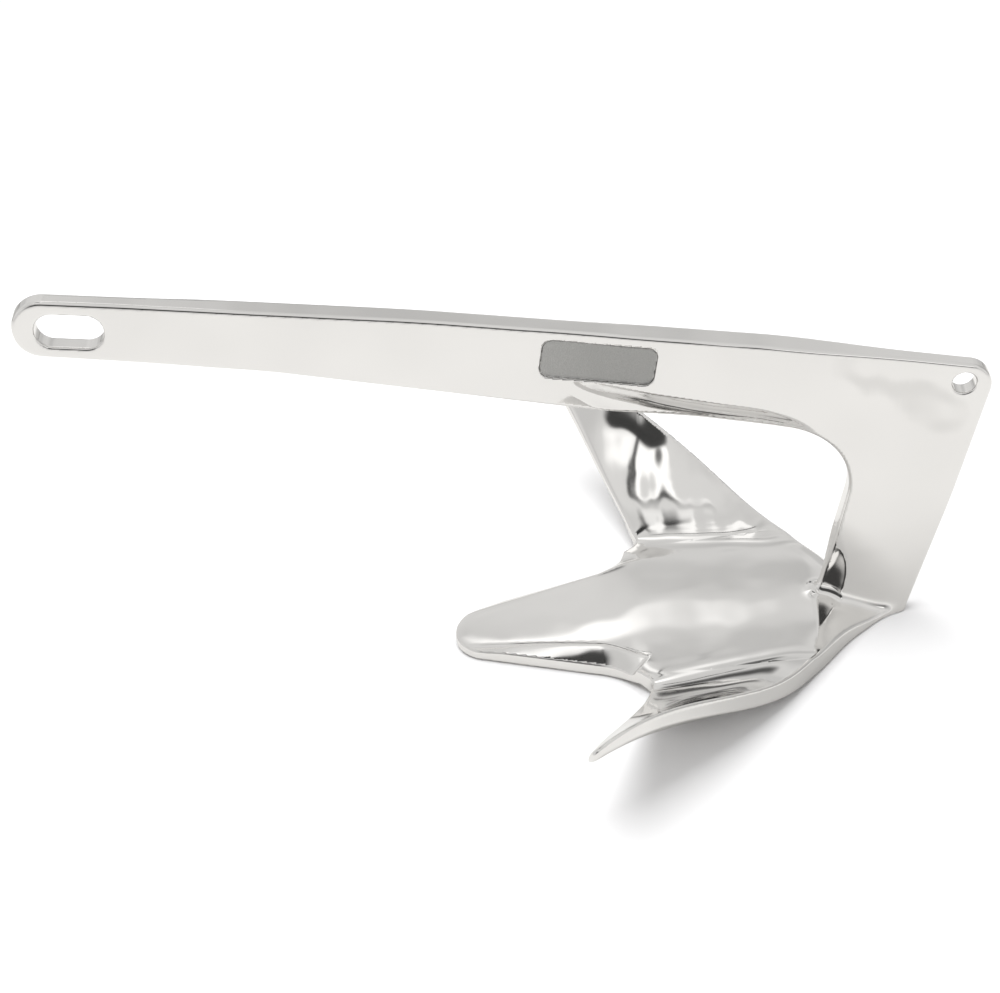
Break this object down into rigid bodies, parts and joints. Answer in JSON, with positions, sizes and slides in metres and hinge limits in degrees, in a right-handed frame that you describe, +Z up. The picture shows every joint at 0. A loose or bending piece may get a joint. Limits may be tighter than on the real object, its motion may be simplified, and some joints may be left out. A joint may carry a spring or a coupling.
{
  "type": "claw anchor",
  "caption": "Small claw anchor with a flat shank, a curved claw of spread flukes, a shackle slot and a trip line hole.",
  "frame": {"origin": "under the middle of the anchor, on the surface that carries it", "axes": "+X from the shackle eye to the crown, Y across the flukes, +Z up with the anchor standing on its centre fluke and heel"},
  "size_m": [0.318, 0.2132, 0.1562],
  "materials": {
    "polished_stainless": "mirror polished stainless steel casting, matt in the sunk mark panel"
  },
  "bodies": {
    "root": {"claw_anchor": "polished_stainless"}
  },
  "joints": []
}
